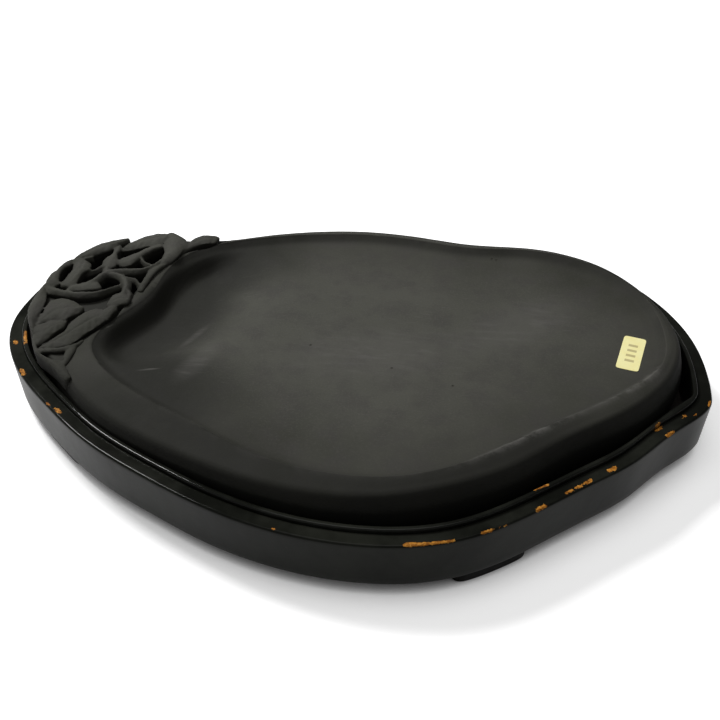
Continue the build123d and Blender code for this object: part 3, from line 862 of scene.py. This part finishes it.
# Tray wall
# A ring of wood carved to the stone's outline and lacquered black, satin, with a nearly flat ledge whose
# outer edge is rubbed round, and chips where the lacquer has gone and the bare wood shows.
wall_low, wall_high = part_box("wall_ring")
ledge_level = wall_high.z
wall_foot = wall_low.z
board_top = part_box("lip_liner")[0].z
edge_rounding = 0.8 * mm
wall_foot_rounding = 0.5 * mm
inner_edge_break = 0.2 * mm
ledge_fall = 0.1 * mm
ledge_shares = [0.2, 0.4, 0.6, 0.8]
wall_handwork = [(0.12 * mm, 17 * mm), (0.035 * mm, 5 * mm)]
wall_crease = 40
edge_steps = 6
wall_shares = [0.06, 0.16, 0.3, 0.5, 0.7, 0.88, 1.0]
wall_surface = surface_of(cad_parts["wall_ring"])
inner = outline_at(wall_surface, (board_top + ledge_level) / 2, from_inside=True)
rebate = outline_at(wall_surface, (wall_foot + board_top) / 2, from_inside=True)
outer_low = outline_at(wall_surface, wall_foot + wall_foot_rounding)
outer_high = outline_at(wall_surface, ledge_level - edge_rounding)
wall_loops = [at_level(inner, board_top), at_level(inner, (board_top + ledge_level) / 2)]
wall_loops.append(at_level(inner, ledge_level - inner_edge_break))
ledge_inside = inset(at_level(inner, ledge_level), -inner_edge_break)
ledge_edge = inset(at_level(outer_high, ledge_level - ledge_fall), edge_rounding)
wall_loops.append(ledge_inside)
for share in ledge_shares:
    wall_loops.append(between(ledge_inside, ledge_edge, share))
for turn in quarter_turn(edge_steps):
    level = ledge_level - ledge_fall - edge_rounding * (1 - math.cos(turn))
    wall_loops.append(inset(at_level(outer_high, level), edge_rounding * (1 - math.sin(turn))))
edge_foot = ledge_level - ledge_fall - edge_rounding
for share in wall_shares:
    level = edge_foot + (wall_foot + wall_foot_rounding - edge_foot) * share
    wall_loops.append(at_level(between(outer_high, outer_low, share), level))
for turn in quarter_turn(rounding_steps)[1:]:
    level = wall_foot + wall_foot_rounding * (1 - math.sin(turn))
    wall_loops.append(inset(at_level(outer_low, level), wall_foot_rounding * (1 - math.cos(turn))))
wall_loops += [at_level(rebate, wall_foot), at_level(rebate, board_top), at_level(inner, board_top)]
tray_wall = extruded_loops("tray_wall", wall_loops, filled=False)
hand_worked(tray_wall, wall_handwork)

# Chips in the outer edge, then on the ledge beside the lip, in mm: the two ends of each and its half width
chips = [
    ((29.8, -84.9), (36.0, -83.7), 0.7), ((37.4, -83.3), (43.5, -81.5), 0.55),
    ((51.6, -77.3), (54.5, -75.9), 0.65), ((56.4, -74.8), (61.3, -71.9), 0.7),
    ((67.4, -65.6), (69.2, -63.9), 0.8), ((75.6, -57.6), (77.4, -55.9), 0.5),
    ((78.6, -54.9), (80.4, -53.5), 0.5), ((81.6, -52.3), (83.2, -50.9), 0.7),
    ((88.8, -45.8), (90.8, -44.3), 0.75), ((108.6, -26.6), (110.8, -24.6), 0.8),
    ((118.2, -15.4), (119.0, -14.4), 0.45), ((123.6, -9.2), (124.3, -7.0), 0.5),
    ((-120.0, -6.6), (-119.2, -7.6), 0.8), ((-110.6, -22.6), (-109.2, -24.8), 0.8),
    ((-95.0, -38.7), (-93.8, -39.6), 0.5), ((-90.8, -41.2), (-88.8, -42.8), 0.75),
    ((-8.8, -84.0), (-8.0, -84.1), 0.4), ((-117.4, -2.6), (-114.6, -9.4), 0.6),
    ((104.9, -24.6), (106.4, -22.8), 0.8), ((114.4, -16.6), (115.3, -15.7), 0.5),
    ((65.8, -58.9), (69.9, -56.3), 0.6),
]
chip_fade = 0.5
chip_drop = 1.3


def bareness(point, edge_level):
    """Give how bare of lacquer a point is: 1 in the middle of a chip, falling to 0 outside it."""
    most = 0.0
    for first, last, half_width in chips:
        a = Vector((*first, 0)) * mm
        b = Vector((*last, 0)) * mm
        flat = Vector((point.x, point.y, 0))
        share = min(max((flat - a).dot(b - a) / (b - a).length_squared, 0), 1)
        away = math.hypot((flat - a.lerp(b, share)).length, max(edge_level - point.z, 0) * chip_drop)
        most = max(most, 1 - chip_fade * away / (half_width * mm))
    return most


give_numbers(tray_wall, "bare", [bareness(vertex.co, ledge_level) for vertex in tray_wall.data.vertices])

lacquer_black = (0.006, 0.0065, 0.005)
lacquer_smear = (0.013, 0.014, 0.011)
smear_and_sheen_colour = (0.036, 0.037, 0.029)
dust_colour = (0.06, 0.055, 0.05)
wood_dark = (0.14, 0.038, 0.004)
wood_light = (0.60, 0.25, 0.035)
torn_fibre = (0.78, 0.48, 0.12)


def lacquer_finish(name, shine, mirror, depth):
    """Make black lacquer over wood, smeared and brushed uneven, with a painted sheen on upward faces and bare
    wood where it is chipped.
    """
    material, place = new_finish(name)
    facing = place.node("ShaderNodeNewGeometry", {}, {}, output="Normal")
    upright = place.node("ShaderNodeSeparateXYZ", {}, {0: facing}, output="Z")
    ragged = place.speckle(0.9 * mm, 5.0, 0.75)
    torn = place.speckle(2.6 * mm, 4.0, 0.6)
    chip = (number_at(place, "bare") + (ragged - 0.5) * 1.2 + (torn - 0.5) * 0.8).window(0.46, 0.54)
    smears = place.speckle(22 * mm, 4.0, 0.6).window(0.35, 0.7)
    dust = place.speckle(0.5 * mm, 2.0, 0.5).window(0.66, 0.8)
    colour = smears.mixed(lacquer_black, lacquer_smear)
    on_top = upright.window(0.8, 0.97)
    # Painted sheen, with smears, on the upward faces
    colour = (on_top * smears * 0.2).mixed(colour, smear_and_sheen_colour)
    colour = (dust * 0.25).mixed(colour, dust_colour)
    wood = place.stretched((1, 1, 4)).speckle(1.6 * mm, 5.0, 0.7).window(0.3, 0.7)
    bare_wood = wood.mixed(wood_dark, wood_light)
    bare_wood = ragged.window(0.56, 0.7).mixed(bare_wood, torn_fibre)
    colour = chip.mixed(colour, bare_wood)
    roughness = shine + 0.05 * smears - 0.22 * on_top + 0.4 * chip
    height = place.speckle(9 * mm, 3.0, 0.5) * 0.9 + place.speckle(1.5 * mm, 2.0, 0.5) * 0.12 + ragged * 0.04
    close_finish(place, height - chip * 1.6, depth, {
        "Base Color": colour, "Roughness": roughness, "Specular IOR Level": mirror,
    })
    return material


dress(tray_wall, lacquer_finish("wall_lacquer", shine=0.34, mirror=0.07, depth=0.10 * mm))
shade(tray_wall, wall_crease)
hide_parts("wall_ring")
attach(tray_wall, "tray")


# Lip liner
# A thin strip of wood bent round and glued inside the wall, lacquered glossy black. It stands a little
# proud of the ledge, to locate a lid.
lip_rounding = 0.5 * mm
lip_crease = 50
lip_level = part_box("lip_liner")[1].z
liner_surface = surface_of(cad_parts["lip_liner"])
liner_inner = outline_at(liner_surface, (board_top + lip_level) / 2, from_inside=True)
liner_outer = outline_at(liner_surface, (board_top + lip_level) / 2)
liner_loops = [at_level(liner_inner, board_top), at_level(liner_inner, (board_top + lip_level) / 2)]
for turn in quarter_turn(rounding_steps):
    level = lip_level - lip_rounding * (1 - math.sin(turn))
    liner_loops.append(inset(at_level(liner_inner, level), -lip_rounding * (1 - math.cos(turn))))
for turn in quarter_turn(rounding_steps):
    level = lip_level - lip_rounding * (1 - math.cos(turn))
    liner_loops.append(inset(at_level(liner_outer, level), lip_rounding * (1 - math.sin(turn))))
liner_loops += [at_level(liner_outer, board_top), at_level(liner_inner, board_top)]
liner = extruded_loops("lip_strip", liner_loops, filled=False)
give_numbers(liner, "bare", [bareness(vertex.co, lip_level) for vertex in liner.data.vertices])
dress(liner, lacquer_finish("lip_lacquer", shine=0.30, mirror=0.16, depth=0.10 * mm))
shade(liner, lip_crease)
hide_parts("lip_liner")
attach(liner, "tray")


# Floor board
# A flat board, planed and let into the wall from below, on which the stone lies. Its black lacquer is so
# thin that the grain still shows.
board_finish, place = new_finish("board_lacquer")
rings = place.stretched((1, 9, 9)).speckle(30 * mm, 5.0, 0.65)
pores = place.stretched((1, 16, 16)).speckle(6 * mm, 3.0, 0.7).window(0.55, 0.75)
colour = rings.window(0.3, 0.7).mixed((0.012, 0.010, 0.009), (0.028, 0.021, 0.016))
colour = (pores * 0.6).mixed(colour, (0.006, 0.005, 0.004))
close_finish(place, rings - pores * 0.8, 0.12 * mm, {"Base Color": colour, "Roughness": 0.42 + 0.2 * pores})
dress(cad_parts["floor_board"], board_finish)


# Feet
# Four low blocks of wood with round ends and eased lower edges, lacquered black. Each is pegged and
# glued under the wall.
foot_break = 0.6 * mm
foot_places = 120
foot_crease = 40
foot_finish, place = new_finish("foot_lacquer")
smears = place.speckle(8 * mm, 4.0, 0.6).window(0.35, 0.7)
scuffs = place.stretched((1, 1, 3)).speckle(1.2 * mm, 4.0, 0.7).window(0.6, 0.75)
colour = smears.mixed((0.005, 0.0045, 0.0045), (0.009, 0.008, 0.007))
colour = (scuffs * 0.3).mixed(colour, (0.09, 0.05, 0.025))
close_finish(place, smears + scuffs * 0.4, 0.08 * mm, {
    "Base Color": colour, "Roughness": 0.45 + 0.2 * smears, "Specular IOR Level": 0.06,
})
for corner in ("front_right", "front_left", "back_left", "back_right"):
    node = "foot_" + corner
    foot_low, foot_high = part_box(node)
    foot_middle = (foot_low + foot_high) / 2
    foot_surface = surface_of(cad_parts[node])
    outline = outline_at(foot_surface, foot_middle.z, about=foot_middle, places=foot_places)
    foot_loops = []
    for turn in quarter_turn(rounding_steps):
        level = foot_low.z + foot_break * (1 - math.sin(turn))
        foot_loops.insert(0, inset(at_level(outline, level), foot_break * (1 - math.cos(turn))))
    foot_loops.append(at_level(outline, foot_middle.z))
    foot_loops.append(at_level(outline, foot_high.z))
    block = extruded_loops("block_" + node, foot_loops)
    dress(block, foot_finish)
    shade(block, foot_crease)
    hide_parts(node)
    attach(block, "tray")


# Foot pegs
# Eight bamboo pins, pale and stringy, split and shaved round. Two are driven through each foot into the
# tray.
bamboo, place = new_finish("peg_bamboo")
strings = place.stretched((6, 6, 1)).speckle(4 * mm, 4.0, 0.7)
colour = strings.window(0.35, 0.65).mixed((0.30, 0.17, 0.07), (0.55, 0.38, 0.19))
close_finish(place, strings, 0.05 * mm, {"Base Color": colour, "Roughness": 0.65})
dress(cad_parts["foot_pegs"], bamboo)


# Studio
# A white table, one soft lamp at the back left, a wide weaker one above, and a dim room round it. The
# table looks white to the camera, but for the shade close to the tray.
table_size = 6.0
table_glow = 0.53
contact_reach = 0.025
start_alone()
bpy.ops.mesh.primitive_plane_add(size=table_size, location=(0, 0, 0))
table = bpy.context.object
table.name = "table"
table_white, place = new_finish("table_white")
rays = {ray: place.node("ShaderNodeLightPath", {}, {}, output=ray)
        for ray in ("Is Camera Ray", "Is Glossy Ray", "Is Transmission Ray")}
seen = rays["Is Camera Ray"] + rays["Is Glossy Ray"] + rays["Is Transmission Ray"]
open_sky = place.node("ShaderNodeAmbientOcclusion", {"samples": 16}, {"Distance": contact_reach}, output="AO")
shader = place.node("ShaderNodeBsdfPrincipled", {}, {
    "Base Color": (0.93, 0.93, 0.93, 1), "Roughness": 0.95, "Specular IOR Level": 0.0,
    "Emission Color": (1, 1, 1, 1), "Emission Strength": seen * open_sky.window(0.15, 0.72) * table_glow,
})
place.node("ShaderNodeOutputMaterial", {}, {"Surface": shader})
dress(table, table_white)

room_light = 0.11
world = bpy.data.worlds.new("room")
bpy.context.scene.world = world
world.use_nodes = True
world.node_tree.nodes["Background"].inputs["Color"].default_value = (1, 1, 1, 1)
world.node_tree.nodes["Background"].inputs["Strength"].default_value = room_light

look_at = Vector((1.0, 28.9, 0.0)) * mm


def softbox(name, place, size, power):
    """Hang a square lamp, turned to the stone."""
    lamp = bpy.data.lights.new(name, "AREA")
    lamp.size = size
    lamp.energy = power
    holder = bpy.data.objects.new(name, lamp)
    holder.location = place
    holder.rotation_euler = (look_at - holder.location).to_track_quat("-Z", "Y").to_euler()
    bpy.context.scene.collection.objects.link(holder)


softbox("window", Vector((-0.75, 0.52, 1.09)), size=0.34, power=16)
softbox("ceiling", Vector((-0.05, 0.05, 1.4)), size=0.9, power=4.4)

camera = bpy.data.cameras.new("camera")
camera.lens = 50
camera.sensor_width = 36
holder = bpy.data.objects.new("camera", camera)
holder.location = Vector((44.35, -279.5, 234.7)) * mm
holder.rotation_euler = (look_at - holder.location).to_track_quat("-Z", "Y").to_euler()
bpy.context.scene.collection.objects.link(holder)
bpy.context.scene.camera = holder
bpy.context.scene.view_settings.view_transform = "Standard"
